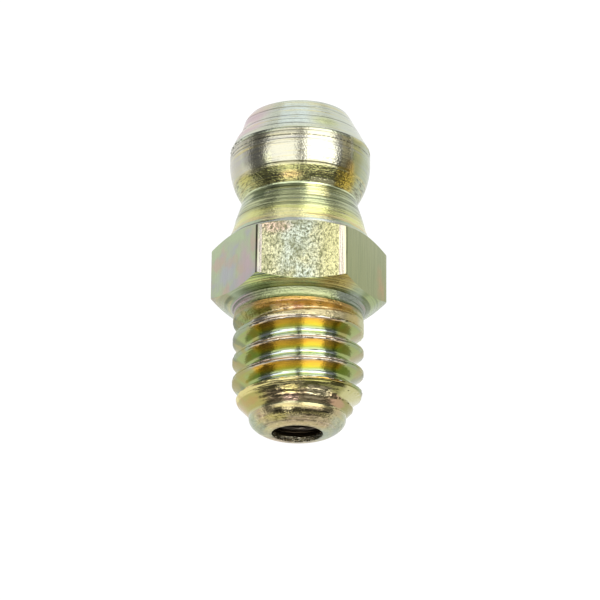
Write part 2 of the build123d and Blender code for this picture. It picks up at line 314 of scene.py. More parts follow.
# Thread: cut by a die, which leaves smooth flanks and a torn crest. The film is thick on the
# flanks, where it shows gold, and thin in the roots, where it shows silver and green. The die's
# lines are some 0.01 mm apart and are drawn at 0.07 mm, so that they show.
threadPlate = {
    "grains": {
        "clouds": ((1.1, 1.1, 1.1), 2.0, 0.5), "fine": ((1.2, 0.6, 1.2), 2.0, 0.5),
        "streaks": ((2.0, 0.12, 2.0), 4.0, 0.6), "rings": ((12, 0.07, 12), 3.0, 0.6),
        "speckle": ((0.1, 0.09, 0.1), 1.0, 0.5), "tears": ((0.5, 0.09, 0.5), 3.0, 0.7),
    },
    "wavers": {"wavyRadius": ("radius", "fine", 0.03), "waveredRose": ("rosyLead", "streaks", 0.5)},
    "stains": {"rosyLead": ((1.8, -5.0, 1.6), (0.45, 0.3, 0.6))},
    "base": "C6D2CE",
    "layers": [
        # outwards from the roots: a thin film, the gold flanks, the worn crests
        ("B8CA98", 1, {"wavyRadius": (2.39, 2.45)}),
        ("B4BC58", 1, {"wavyRadius": (2.46, 2.51)}),
        ("CCC84A", 1, {"wavyRadius": (2.51, 2.56)}),
        ("DCC83C", 1, {"wavyRadius": (2.56, 2.62)}),
        ("E8C040", 1, {"wavyRadius": (2.62, 2.7)}),
        ("DCB042", 1, {"wavyRadius": (2.72, 2.8)}),
        ("CCA24C", 1, {"wavyRadius": (2.82, 2.88)}),
        ("C8AE84", 1, {"wavyRadius": (2.89, 2.93)}),
        ("C8BCA8", 1, {"radius": (2.94, 2.97)}),
        # the roots and flanks that look up
        ("C2BEBC", 1, {"upward": (-0.12, 0.12), "radius": (2.4, 2.34)}),
        ("C6C2B8", 1, {"upward": (-0.12, 0.12), "radius": (2.38, 2.5)}),
        # round to the sides: painted shade, darkening the sides and most of all the outline
        ("93A286", 0.9, {"side": (-0.66, -0.8)}),
        ("8B9C70", 0.9, {"side": (0.6, 0.76)}),
        ("9CAA62", 0.8, {"side": (-0.66, -0.8), "radius": (2.9, 2.85)}),
        ("98A45C", 0.8, {"side": (0.6, 0.76), "radius": (2.9, 2.85)}),
        # painted shade along the outline
        ("626450", 0.6, {"side": (-0.96, -0.99)}),
        ("626450", 0.6, {"side": (0.96, 0.99)}),
        ("A89C58", 0.7, {"side": (-0.7, -0.85), "clouds": (0.45, 0.6)}),
        ("A09458", 0.7, {"side": (0.65, 0.8), "clouds": (0.45, 0.6)}),
        # the run-out
        ("ECD090", 0.95, {"height": (-1.3, -1.2), "side": (-0.72, -0.55, 0.72, 0.55)}),
        ("ECE8B8", 0.9, {"height": (-1.35, -1.25, -0.92, -1.0), "side": (-0.48, -0.4, 0.72, 0.55)}),
        ("8C9048", 0.85, {"height": (-1.3, -1.2, -0.5, -0.6), "side": (-0.82, -0.72, -0.4, -0.5)}),
        ("ACA07A", 0.9, {"height": (-1.35, -1.25), "upward": (-0.5, -0.2)}),
        ("F0C0A4", 0.8, {"height": (-1.0, -0.9, -0.6, -0.68), "streaks": (0.45, 0.6),
            "side": (-0.45, -0.35, 0.12, 0.0)}),
        ("F0DCA4", 0.7, {"height": (-1.0, -0.9, -0.66, -0.72), "side": (0.0, 0.12, 0.6, 0.45)}),
        ("4E482C", 0.5, {"height": (-1.32, -1.25), "tears": (0.5, 0.4), "side": (-0.8, -0.6, 0.8, 0.6)}),
        ("E4B460", 0.85, {"height": (-0.82, -0.72, -0.42, -0.46), "side": (-0.78, -0.6, 0.35, 0.15)}),
        ("C09850", 0.8, {"height": (-0.82, -0.72, -0.42, -0.46), "side": (0.2, 0.38, 0.85, 0.75)}),
        ("52421E", 0.5, {"height": (-1.1, -1.0, -0.46, -0.5), "tears": (0.46, 0.38),
            "side": (-0.8, -0.6, 0.8, 0.6)}),
        ("F4E4B4", 0.9, {"height": (-1.14, -1.06, -0.7, -0.76), "side": (-0.52, -0.45, -0.08, -0.18),
            "tears": (0.4, 0.48)}),
        ("E8B8A4", 0.5, {"height": (-0.9, -0.8, -0.55, -0.6), "tears": (0.52, 0.6),
            "side": (-0.5, -0.35, 0.4, 0.2)}),
        # the hollow under the hexagon
        ("A8AE78", 1, {"height": (-0.46, -0.4)}),
        ("BCC494", 1, {"height": (-0.36, -0.22)}),
        ("B49CAA", 0.8, {"height": (-0.4, -0.25), "side": (-0.6, -0.85)}),
        # painted shade on the right of the hollow
        ("90988C", 0.9, {"height": (-0.45, -0.25), "side": (0.45, 0.65)}),
        ("46583A", 0.75, {"height": (-0.45, -0.4), "rings": (0.52, 0.42)}),
        ("566038", 0.7, {"height": (-0.45, -0.43, -0.37, -0.39), "side": (-0.8, -0.7, 0.8, 0.7)}),
        # the right of the run-out
        ("C0B070", 0.8, {"height": (-1.3, -1.2, -0.55, -0.65), "side": (0.6, 0.8)}),
        ("BCC098", 0.8, {"height": (-1.3, -1.2, -0.3, -0.5), "side": (0.86, 0.94)}),
        # the tapered lead
        ("98945A", 1, {"height": (-4.18, -4.28), "radius": (2.96, 2.9)}),
        ("C8BC88", 0.8, {"height": (-4.18, -4.28), "radius": (2.96, 2.9), "side": (0.15, 0.0)}),
        ("C4AE88", 0.9, {"height": (-4.6, -4.75), "side": (-0.7, -0.5, 0.75, 0.6)}),
        ("A8A058", 0.8, {"height": (-4.4, -4.5), "side": (-0.5, -0.7)}),
        ("DCD08C", 0.9, {"height": (-4.25, -4.35, -4.64, -4.56), "side": (-0.4, -0.52)}),
        ("D0CC94", 0.7, {"height": (-4.2, -4.3, -4.78, -4.68), "side": (0.68, 0.78)}),
        # painted highlights: bright streaks on the right of the lead
        ("F4E6B8", 1, {"height": (-4.5, -4.56, -4.93, -4.88), "side": (0.1, 0.18, 0.6, 0.45),
            "rings": (0.34, 0.44)}),
        ("F0DCB0", 0.9, {"height": (-4.9, -4.95, -5.08, -5.04), "side": (0.05, 0.15, 0.5, 0.4),
            "rings": (0.4, 0.5)}),
        ("B89860", 0.6, {"height": (-4.4, -4.5), "side": (-0.5, -0.7), "clouds": (0.5, 0.62)}),
        ("D8C880", 0.8, {"height": (-4.5, -4.55, -4.95, -4.8), "side": (-0.35, -0.22, 0.02, -0.05)}),
        ("DCB8A4", 0.8, {"height": (-4.8, -4.95), "side": (-0.35, -0.22, 0.02, -0.05)}),
        ("4E4A28", 0.6, {"height": (-4.42, -4.47), "tears": (0.5, 0.42), "side": (-0.75, -0.6, 0.75, 0.6)}),
        ("B9B88C", 0.8, {"height": (-5.1, -5.2)}),
        # rosy stains
        ("B89478", 0.8, {"waveredRose": (1.2, 0.5)}),
        ("B08078", 0.35, {"streaks": (0.55, 0.75)}),
    ],
    "roughness": 0.15,
    "duller": [(0.1, {"speckle": (0.5, 0.8)}), (0.22, {"height": (-1.3, -1.15)})],
    "relief": [
        (0.002, {"rings": (0.3, 0.7)}), (0.001, {"speckle": (0.3, 0.7)}),
        (0.005, {"tears": (0.3, 0.7), "height": (-4.3, -4.5)}),
        (0.003, {"tears": (0.3, 0.7), "radius": (2.86, 2.92)}),
        (0.014, {"speckle": (0.3, 0.7), "height": (-1.35, -1.2)}),
        (0.006, {"rings": (0.3, 0.7), "height": (-0.65, -0.5)}),
    ],
}

# Flats of the hexagon: bar drawn through a die, which leaves fine lines along it and rolls the
# corners over smooth. The bath has etched the front to a skin of dark pits 0.1 to 0.2 mm across.
# The lines are some 0.02 mm apart and are drawn at 0.07 mm, so that they show.
flatPlate = {
    "grains": {
        "clouds": ((1.2, 1.4, 1.2), 3.0, 0.5), "skin": ((0.08, 0.11, 0.08), 4.0, 0.7),
        "crystals": ((0.13, 0.17, 0.13), 3.0, 0.6), "dents": ((0.45, 0.7, 0.45), 3.0, 0.6),
        "lines": ((0.07, 2.5, 0.07), 3.0, 0.6), "broad": ((1.0, 0.8, 1.0), 2.0, 0.5),
    },
    "stains": {
        "rose": ((-1.2, 2.7, 3.5), (0.9, 0.35, 0.5)),
        "leftRose": ((-2.5, 1.1, 2.6), (0.5, 0.8, 0.8)),
        "leftLilac": ((-3.3, 1.3, 1.3), (0.6, 0.7, 0.9)),
        "rightOrange": ((3.75, 0.9, 0.5), (0.3, 0.7, 0.5)),
    },
    "wavers": {
        "frontRose": ("rose", "clouds", 0.6), "roseLeft": ("leftRose", "clouds", 0.8),
        "lilacLeft": ("leftLilac", "clouds", 0.8), "orangeRight": ("rightOrange", "clouds", 0.6),
    },
    "base": "C8C6A0",
    "layers": [
        # the front, its etched skin and its bright corners
        ("BEC6B6", 0.9, {"across": (-1.4, -0.6, 0.9, 0.3), "clouds": (0.35, 0.55)}),
        ("CCB4A0", 0.9, {"frontRose": (1.5, 0.2)}),
        ("C6C28E", 0.8, {"across": (0.7, 1.2)}),
        ("5E6036", 0.8, {"skin": (0.52, 0.38)}),
        ("4E5430", 0.7, {"crystals": (0.5, 0.38), "across": (1.3, 0.9)}),
        ("6A6C44", 0.4, {"dents": (0.5, 0.36), "across": (1.3, 0.9)}),
        ("E8DCD0", 1, {"across": (-1.78, -1.81)}),
        ("D0C4B4", 1, {"across": (1.66, 1.7)}),
        # the flats to the left and the right, the right one darkened as painted shade
        ("A6B092", 1, {"side": (-0.45, -0.52)}),
        ("93996E", 1, {"side": (0.45, 0.52)}),
        ("A2A2A6", 0.7, {"side": (-0.45, -0.52), "broad": (0.5, 0.36)}),
        ("A8B890", 0.7, {"side": (-0.45, -0.52), "broad": (0.5, 0.62)}),
        ("B4A292", 0.8, {"side": (-0.45, -0.52), "clouds": (0.52, 0.64)}),
        ("4A4434", 0.85, {"side": (-0.525, -0.512, -0.488, -0.497)}),
        # stains and drawing lines
        ("B4A0A4", 0.9, {"roseLeft": (1.6, 0.2)}),
        ("A6A6AE", 0.8, {"lilacLeft": (1.6, 0.2)}),
        ("76825A", 0.4, {"side": (0.45, 0.52), "lines": (0.55, 0.4)}),
        ("8A9276", 0.1, {"side": (-0.45, -0.52), "lines": (0.55, 0.4)}),
        ("B0906A", 0.8, {"orangeRight": (1.5, 0.2)}),
    ],
    "roughness": 0.2,
    "relief": [
        (0.012, {"skin": (0.3, 0.7), "across": (-1.83, -1.79, 1.68, 1.64), "depth": (3.4, 3.45)}),
        (0.012, {"crystals": (0.3, 0.7), "across": (-1.83, -1.79, 1.68, 1.64), "depth": (3.4, 3.45)}),
        (0.002, {"lines": (0.3, 0.7)}),
    ],
}

# Bore: drilled at a feed of 0.12 mm, which leaves its rings, and hardly plated inside, so that it
# looks grey-brown and dull under a film of oil
borePlate = {
    "grains": {"drillRings": ((2, 0.12, 2), 3.0, 0.5)},
    "base": "A08C6C",
    # the dark brown layer is painted shade, darker deeper in the bore
    "layers": [("6E5E48", 1, {"drillRings": (0.35, 0.65)}), ("54483A", 0.8, {"height": (-5.62, -5.4)})],
    "roughness": 0.4,
    "relief": [(0.02, {"drillRings": (0.3, 0.7)})],
}

# Check ball: hardened chrome steel, lapped until it mirrors clearly, with a dull brown track where
# it meets its seat. The lapping marks are finer than 0.01 mm and are drawn at 0.05 mm.
ballSteel = {
    "grains": {"swirl": ((0.5, 0.5, 0.5), 3.0, 0.5), "polish": ((0.05, 0.05, 0.05), 2.0, 0.5)},
    "base": "C4C6C8",
    "layers": [
        ("9A8E7C", 0.15, {"swirl": (0.4, 0.7)}),
        ("9A8E7C", 0.8, {"height": (8.9, 8.96, 9.08, 9.02)}),
    ],
    "roughness": 0.08,
    "duller": [(0.22, {"height": (8.9, 8.96, 9.08, 9.02)})],
    "relief": [(0.001, {"polish": (0.3, 0.7)})],
}

# Spring: hard-drawn wire, dull silver under oil, with the lines of the die, which are some
# 0.01 mm apart and are drawn at 0.05 mm, and dark where old grease lies by the outlet
springWire = {
    "grains": {"dieLines": ((0.25, 0.05, 0.25), 3.0, 0.5)},
    "base": "9C9890",
    "layers": [("7E7870", 1, {"dieLines": (0.35, 0.65)}), ("4C443A", 0.8, {"height": (-4.6, -5.0)})],
    "roughness": 0.32,
    "relief": [(0.004, {"dieLines": (0.3, 0.7)})],
}


def selectNothing():
    if bpy.context.object and bpy.context.object.mode != "OBJECT":
        bpy.ops.object.mode_set(mode="OBJECT")
    bpy.ops.object.select_all(action="DESELECT")


def takeUp(piece):  # the only selected and active object
    selectNothing()
    piece.select_set(True)
    bpy.context.view_layer.objects.active = piece


def nameIt(name):
    piece = bpy.context.object
    piece.name = piece.data.name = name
    return piece


def openMesh(piece, kind="VERT", pick="SELECT"):  # edit mode, with all of it picked or nothing
    takeUp(piece)
    bpy.ops.object.mode_set(mode="EDIT")
    bpy.ops.mesh.select_mode(type=kind)
    bpy.ops.mesh.select_all(action=pick)


def closeMesh():
    bpy.ops.object.mode_set(mode="OBJECT")


def pickWhere(parts, wanted):  # from nothing picked, the faces or edges that are wanted
    closeMesh()
    for part in parts:
        part.select = wanted(part)
    bpy.ops.object.mode_set(mode="EDIT")


def drawProfile(name, points):
    # points are (distance from the axis, height) in mm: one vertex is drawn out from point to point
    selectNothing()
    bpy.ops.mesh.primitive_plane_add(size=mm, location=(0, 0, 0))
    piece = nameIt(name)
    openMesh(piece)
    bpy.ops.mesh.merge(type="CENTER")
    r, y = points[0]
    bpy.ops.transform.translate(value=(r * mm, y * mm, 0))
    for nextR, nextY in points[1:]:
        step = ((nextR - r) * mm, (nextY - y) * mm, 0)
        bpy.ops.mesh.extrude_region_move(TRANSFORM_OT_translate={"value": step})
        r, y = nextR, nextY
    closeMesh()
    return piece


def weld(piece):
    openMesh(piece)
    bpy.ops.mesh.remove_doubles(threshold=weldGap)
    bpy.ops.mesh.normals_make_consistent(inside=False)
    closeMesh()


def spinRound(piece, steps=columns):  # turns a profile once round the axis of the nipple
    openMesh(piece)
    bpy.ops.mesh.spin(steps=steps, angle=2 * math.pi, center=(0, 0, 0), axis=(0, 1, 0))
    closeMesh()
    weld(piece)


def applyModifier(piece, kind, **settings):
    takeUp(piece)
    modifier = piece.modifiers.new(kind.title(), kind)
    for setting, value in settings.items():
        setattr(modifier, setting, value)
    bpy.ops.object.modifier_apply(modifier=modifier.name)


def placesOf(piece):  # every vertex, in mm
    places = np.zeros(len(piece.data.vertices) * 3)
    piece.data.vertices.foreach_get("co", places)
    return places.reshape(-1, 3) / mm


def putPlaces(piece, places):
    piece.data.vertices.foreach_set("co", (places * mm).astype(np.float32).ravel())
    piece.data.update()


def arc(centreR, centreY, radius, first, last, steps):
    # points of an arc, its angles in degrees from the direction straight out from the axis
    turns = [math.radians(first + (last - first) * i / steps) for i in range(steps + 1)]
    return [(centreR + radius * math.cos(t), centreY + radius * math.sin(t)) for t in turns]


def line(start, end, steps):  # points of a straight line, without its first
    return [
        (start[0] + (end[0] - start[0]) * i / steps, start[1] + (end[1] - start[1]) * i / steps)
        for i in range(1, steps + 1)
    ]


head = {
    "flareRadius": 3.32, "flareHeight": 3.094,
    "neckRadius": 2.62, "neckHeight": 5.247, "neckRounding": 0.09,
    "footBend": 0.035, "footShare": 0.6,  # how deep the flare's foot is hollowed, and over how much of it
    "ballRadius": 3.25, "ballHeight": 7.17, "bandTop": 7.71, "bandRounding": 0.05,
    "topRadius": 2.28, "topHeight": 9.48, "topRounding": 0.08,
}
bore = {
    "inletRadius": 0.8, "inletChamfer": 0.08, "inletLand": 0.28,
    "boreRadius": 1.45, "seatBottom": 8.47, "boreStart": -5.41,
    "outletRadius": 1.16, "lipTop": -5.70, "slack": 0.05,  # round the wall, in picking its faces
}
bruise = {  # knocks and swellings: middle in mm, half size in mm, depth or rise in mm
    "knocks": [
        ((-3.1, 7.66, 0.9), (0.5, 0.16, 1.1), 0.10), ((-3.2, 7.30, 0.3), (0.5, 0.10, 0.9), 0.05),
        ((-2.5, 8.45, 1.0), (0.5, 0.08, 0.6), 0.04), ((3.15, 7.62, 0.8), (0.5, 0.10, 0.8), 0.05),
    ],
    "swellings": [
        ((-2.3, 9.15, 0.8), (0.8, 0.42, 1.1), 0.14), ((-2.75, 8.25, 0.9), (0.7, 0.2, 1.0), 0.04),
    ],
    "grain": 4.5, "evenness": 0.6, "raggedness": 1.6,
}
end = {  # the crimped end bends round in two arcs, a slow one and a quick one, which meet at meetAngle
    "shankEnd": -5.95, "slowRadius": 1.273, "quickRadius": 0.477, "meetAngle": 45,
    "pilotRadius": 2.2,
}
rows = {  # of vertices along each stretch of the turned outline
    "flare": 44, "neck": 8, "ball": 40, "band": 8, "bandEdge": 4, "cone": 36, "topEdge": 5, "face": 12,
    "mouth": 2, "inlet": 3, "seat": 8, "bore": 20, "lip": 3, "outlet": 4, "slowArc": 12, "quickArc": 8,
}


def headProfile():
    foot, neck = (head["flareRadius"], head["flareHeight"]), (head["neckRadius"], head["neckHeight"])
    flare = math.atan2(foot[0] - neck[0], neck[1] - foot[1])  # its lean from the axis
    rounding = head["neckRounding"]
    # the neck's rounding touches the flare and the ball of the head: its middle is found from both
    reach = head["ballRadius"] + rounding

    def gap(height):  # from the rounding's middle, kept on the flare's side, to the ball's side
        outward = foot[0] - (height - foot[1]) * math.tan(flare) + rounding / math.cos(flare)
        return math.hypot(outward, height - head["ballHeight"]) - reach, outward

    span, halvings = 0.5, 40  # mm searched to either side of the neck, and how often that is halved
    low, high = neck[1] - span, neck[1] + span
    for halving in range(halvings):
        middle = (low + high) / 2
        low, high = (middle, high) if gap(middle)[0] > 0 else (low, middle)
    outward = gap(middle)[1]
    ballAngle = math.degrees(math.atan2(middle - head["ballHeight"], outward))
    curve = arc(outward, middle, rounding, 180 + math.degrees(flare), 180 + ballAngle, rows["neck"])
    # the flare is hollowed a little above its foot, where it runs into the hexagon
    points = [foot]
    for r, y in line(foot, curve[0], rows["flare"]):
        along = (y - foot[1]) / (curve[0][1] - foot[1])
        bend = math.sin(math.pi * min(along / head["footShare"], 1)) ** 2
        points.append((r - head["footBend"] * bend, y))
    points += curve[1:]
    points += arc(0, head["ballHeight"], head["ballRadius"], ballAngle, 0, rows["ball"])[1:]
    band = (head["ballRadius"], head["bandTop"])
    shoulder = (head["topRadius"], head["topHeight"])
    slope = math.atan2(shoulder[1] - band[1], band[0] - shoulder[0])
    # a small rounding between the band and the top cone, and another at the top edge
    lean = math.pi / 2 - slope
    back = head["bandRounding"] * math.tan(lean / 2)
    points += line(points[-1], (band[0], band[1] - back), rows["band"])
    centre = (band[0] - head["bandRounding"], band[1] - back)
    points += arc(*centre, head["bandRounding"], 0, math.degrees(lean), rows["bandEdge"])[1:]
    turn = math.degrees(slope)
    back = head["topRounding"] * math.tan(math.radians(turn) / 2)
    edge = (shoulder[0] + back * math.cos(slope), shoulder[1] - back * math.sin(slope))
    points += line(points[-1], edge, rows["cone"])
    centre = (shoulder[0] - back, shoulder[1] - head["topRounding"])
    points += arc(*centre, head["topRounding"], 90 - turn, 90, rows["topEdge"])[1:]
    inlet = bore["inletRadius"]
    mouth = (inlet + bore["inletChamfer"], shoulder[1])
    points += line(points[-1], mouth, rows["face"])
    points += line(points[-1], (inlet, shoulder[1] - bore["inletChamfer"]), rows["mouth"])
    seatTop = shoulder[1] - bore["inletChamfer"] - bore["inletLand"]
    points += line(points[-1], (inlet, seatTop), rows["inlet"])
    points += line(points[-1], (bore["boreRadius"], bore["seatBottom"]), rows["seat"])
    points += line(points[-1], (bore["boreRadius"], bore["boreStart"]), rows["bore"])
    points += line(points[-1], (bore["outletRadius"], bore["lipTop"]), rows["lip"])
    points += line(points[-1], (bore["outletRadius"], end["shankEnd"]), rows["outlet"])
    slow, quick, meet = end["slowRadius"], end["quickRadius"], end["meetAngle"]
    points += arc(bore["outletRadius"], end["shankEnd"] + slow, slow, -90, -meet, rows["slowArc"])[1:]
    joinR, joinY = points[-1]
    inwards, upwards = quick * math.cos(math.radians(meet)), quick * math.sin(math.radians(meet))
    points += arc(joinR - inwards, joinY + upwards, quick, -meet, 0, rows["quickArc"])[1:]
    return points


def crumbsAt(places, grain):  # a ragged value for each place, about -1 to 1
    roughness, gap, octaves = 0.6, 2.0, 3
    return np.array([noise.fractal(Vector(place) * grain, roughness, gap, octaves) for place in places])


def bruisesAt(places, marks):  # how deep the marks are at each place, or how high
    return sum(
        size * np.exp(-(((places - middle) / reach) ** 2).sum(axis=1)) for middle, reach, size in marks
    )


turnedForm = drawProfile("turnedForm", headProfile())
spinRound(turnedForm)
# handling has knocked the edge between the band and the cone, most on the left, and swollen the cone
places = placesOf(turnedForm)
knocked, swollen = bruisesAt(places, bruise["knocks"]), bruisesAt(places, bruise["swellings"])
crumbs = crumbsAt(places, bruise["grain"])
knocked *= np.clip(bruise["evenness"] + crumbs * bruise["raggedness"], 0, 2)
inward = 1 - (knocked - swollen) / np.hypot(places[:, 0], places[:, 2])
places[:, 0] *= inward
places[:, 2] *= inward
putPlaces(turnedForm, places)
turnedMaterial = makeFinish("Zinc plate, yellow passivated, on turned steel", turnedPlate)
boreMaterial = makeFinish("Drilled steel, lightly plated and oily", borePlate)
turnedForm.data.materials.append(turnedMaterial)
turnedForm.data.materials.append(boreMaterial)
boreReach = bore["boreRadius"] + bore["slack"]
inletTop = head["topHeight"] - bore["inletChamfer"]
for face in turnedForm.data.polygons:
    r = math.hypot(face.center.x, face.center.z) / mm
    inBore = bore["lipTop"] < face.center.y / mm < inletTop and r < boreReach
    face.material_index = 1 if inBore else 0
print("Head, neck, bore and crimped end turned:", len(turnedForm.data.polygons), "faces")


thread = {
    "radius": 2.98, "pitch": 1.0, "flankAngle": 30, "crestWidth": 0.16, "rootRadius": 0.144,
    "firstGroove": -5.86, "drawnTurns": 8, "fullTurns": 4.75, "runOutTurns": 0.6, "overcut": 0.04,
    "startTurns": 0.6, "startLength": 0.6, "leastShare": 0.02,  # of the full depth, where it fades out
    "seamWidth": 0.022, "seamDepth": 0.045,
    "ridges": {-4.72: 0.028, -4.91: 0.038, -5.05: 0.014}, "ridgeWidth": 0.045, "ridgeSway": 0.05,
    "crestRows": 6, "flankRows": 9, "rootRows": 8, "edgeRounding": 0.03, "snap": 0.003,
    "leadEnd": -3.59, "pilotTop": -5.24, "frontFocus": 1.5,
    # the lead's outline as height: radius, at the sides and in front
    "sideLead": {-5.10: 2.2, -4.58: 2.72}, "frontLead": {-5.2: 2.21, -4.52: 2.68, -4.42: 2.82},
    "collarStart": -0.60, "collarEnd": -0.36, "collarRadius": 2.93,
    "hollowRadius": 0.6, "hollowClear": -0.2,
    "chipGrain": 5.0, "chipWidth": 0.06, "chipDepth": 0.05, "leadChipDepth": 0.06, "chipGrowth": 1.0,
}
halfGroove = (thread["pitch"] - thread["crestWidth"]) / 2
flankRise = math.tan(math.radians(thread["flankAngle"]))
veeDepth = halfGroove / flankRise
rootCentre = veeDepth - thread["rootRadius"] / math.sin(math.radians(thread["flankAngle"]))
rootHalf = thread["rootRadius"] * math.cos(math.radians(thread["flankAngle"]))


def grooveDepth(offset):  # under the crests, at a distance along the axis from the groove's middle
    offset = np.abs(offset)
    inRoot = np.sqrt(np.maximum(thread["rootRadius"] ** 2 - offset**2, 0)) + rootCentre
    return np.where(offset < rootHalf, inRoot, (halfGroove - offset) / flankRise)


def leadOutline(height, lead):  # a lead's cones, then a bend over to the full thread
    top = max(lead)
    toEnd = np.clip((thread["leadEnd"] - height) / (thread["leadEnd"] - top), 0, 1)
    bend = thread["radius"] - (thread["radius"] - lead[top]) * toEnd**2
    outline = {thread["pilotTop"]: end["pilotRadius"], **lead}
    heights = sorted(outline)
    cones = np.interp(height, heights, [outline[k] for k in heights])
    return np.where(height > top, bend, cones)


def towardsFront(angle):  # 1 in front, falling to nothing at the sides
    return np.maximum(np.cos(angle), 0) ** thread["frontFocus"]


def shankOutline(height, angle):
    # the die took the blank a little askew, so that its lead runs lower in front
    lead = leadOutline(height, thread["sideLead"])
    lead += (leadOutline(height, thread["frontLead"]) - lead) * towardsFront(angle)
    collarHeights = [thread["collarStart"], thread["collarEnd"]]
    collar = np.interp(height, collarHeights, [thread["radius"], thread["collarRadius"]])
    straightPart = np.where(height < thread["leadEnd"], lead, collar)
    curl = thread["hollowRadius"]
    rise = np.clip(height - thread["collarEnd"], 0, curl)
    hollow = thread["collarRadius"] + curl - np.sqrt(curl**2 - rise**2)
    return np.where(height > thread["collarEnd"], hollow, straightPart)


def softLower(a, b, rounding):  # the lower of two, with the edge between them rounded
    share = np.clip(0.5 + 0.5 * (b - a) / rounding, 0, 1)
    return b + (a - b) * share - rounding * share * (1 - share) / 2


def threadRows():
    # heights from the groove's middle: close together on the crest's edges and in the root
    half = thread["pitch"] / 2
    crest = np.linspace(half, halfGroove - thread["edgeRounding"], thread["crestRows"] + 1)
    flank = np.linspace(crest[-1], rootHalf, thread["flankRows"] + 1)
    root = np.linspace(rootHalf, -rootHalf, thread["rootRows"] + 1)
    oneSide = np.concatenate([crest[:-1], flank[:-1]])
    return np.concatenate([-oneSide, root[::-1], oneSide[::-1]])


quarter = thread["pitch"] / 4  # the profile is drawn a quarter turn round from +Z
lowGroove = thread["firstGroove"] + quarter - thread["pitch"]
threadForm = drawProfile(
    "threadForm",
    [(thread["radius"] - float(grooveDepth(s)), lowGroove + float(s)) for s in threadRows()],
)
applyModifier(
    threadForm, "SCREW", axis="Y", angle=2 * math.pi, steps=columns, render_steps=columns,
    iterations=thread["drawnTurns"], screw_offset=thread["pitch"] * mm,
    use_merge_vertices=True, merge_threshold=weldGap,
)
weld(threadForm)
places = placesOf(threadForm)
angle = np.arctan2(places[:, 0], places[:, 2]) % (2 * math.pi)
height = np.clip(places[:, 1], thread["pilotTop"], 0)
height[height < thread["pilotTop"] + thread["snap"]] = thread["pilotTop"]  # no sliver at the end ring
fromFirst = (places[:, 1] - thread["firstGroove"]) / thread["pitch"] - angle / (2 * math.pi)
groove = np.round(fromFirst)
offset = (fromFirst - groove) * thread["pitch"]
turn = groove + angle / (2 * math.pi)
share = np.clip(1 - (turn - thread["fullTurns"]) / thread["runOutTurns"], thread["leastShare"], 1)
share *= np.clip((turn - thread["startTurns"]) / thread["startLength"], thread["leastShare"], 1)
depth = share * (grooveDepth(offset / share) + thread["overcut"])
grooveRadius = thread["radius"] + thread["overcut"] - depth
noGroove = (height > thread["hollowClear"]) | (share <= thread["leastShare"])
grooveRadius[noGroove] = 2 * thread["radius"]
outline = shankOutline(height, angle)
radius = softLower(grooveRadius, outline, thread["edgeRounding"])
# the crest keeps a fine seam along its middle
seam = np.exp(-(((thread["pitch"] / 2 - np.abs(offset)) / thread["seamWidth"]) ** 2))
radius -= thread["seamDepth"] * seam * (height < thread["collarStart"]) * share
# the die tears the crests a little, most where it starts
chips = crumbsAt(places, thread["chipGrain"])
nearEdge = np.exp(-(((grooveRadius - outline) / thread["chipWidth"]) ** 2))
onLead = np.clip((thread["leadEnd"] - height) / thread["chipGrowth"], 0, 1)
radius -= nearEdge * np.maximum(chips, 0) * (thread["chipDepth"] + onLead * thread["leadChipDepth"])
# in front, where the die first bit, it left torn ridges instead of a thread
for middle, rise in thread["ridges"].items():
    away = (height - middle + chips * thread["ridgeSway"]) / thread["ridgeWidth"]
    radius += np.exp(-(away**2)) * rise * towardsFront(angle)
atEnd = (height <= thread["pilotTop"]) | (height >= 0)
radius = np.where(atEnd, outline, radius)
column = np.round(angle / (2 * math.pi) * columns) * 2 * math.pi / columns
places = np.stack([radius * np.sin(column), height, radius * np.cos(column)], axis=1)
putPlaces(threadForm, places)
weld(threadForm)
threadForm.data.materials.append(makeFinish("Zinc plate, yellow passivated, on a cut thread", threadPlate))
print("Screw thread cut:", len(threadForm.data.polygons), "faces")


hexagon = {
    "acrossFlats": 7.0, "height": head["flareHeight"], "topRadius": head["flareRadius"],
    "cornerRounding": 0.17, "turningAngle": 25, "edgeRounding": 0.03, "cornerRows": 5, "edgeRows": 3,
    "sharpAngle": 35, "spare": 1, "coneSpare": 0.5,  # the spares are drawn beyond it and then cut off
}
rimRadius = float(shankOutline(0, 0))  # where the hollow runs out into the hexagon's lower face
endFace, turnedFace = 0.99, 0.5  # how far a face's normal leans to the axis, at the least
halfCorner = math.pi / 6
cornerDistance = hexagon["acrossFlats"] / 2 / math.cos(halfCorner)
selectNothing()
bpy.ops.mesh.primitive_cylinder_add(
    vertices=6, radius=cornerDistance * mm, depth=(hexagon["height"] + 2 * hexagon["spare"]) * mm,
    location=(0, hexagon["height"] / 2 * mm, 0), rotation=(math.pi / 2, halfCorner, 0),
)
barForm = nameIt("barForm")
bpy.ops.object.transform_apply(location=True, rotation=True, scale=True)


def isLong(edge):  # one of the six corners of the bar
    a, b = (barForm.data.vertices[i].co for i in edge.vertices)
    return abs(a.y - b.y) > hexagon["height"] * mm


openMesh(barForm, "EDGE", "DESELECT")
pickWhere(barForm.data.edges, isLong)
cornerOffset = hexagon["cornerRounding"] * math.tan(halfCorner)
bpy.ops.mesh.bevel(
    offset=cornerOffset * mm, segments=hexagon["cornerRows"], affect="EDGES", clamp_overlap=False
)
closeMesh()

slope = math.tan(math.radians(hexagon["turningAngle"]))
reach = cornerDistance + hexagon["coneSpare"]
coneForm = drawProfile(
    "coneForm",
    [
        (0, 0), (rimRadius, 0),
        (reach, (reach - rimRadius) * slope),
        (reach, hexagon["height"] - (reach - hexagon["topRadius"]) * slope),
        (hexagon["topRadius"], hexagon["height"]), (0, hexagon["height"]),
    ],
)
spinRound(coneForm)
applyModifier(barForm, "BOOLEAN", operation="INTERSECT", solver="EXACT", object=coneForm)
bpy.data.objects.remove(coneForm)

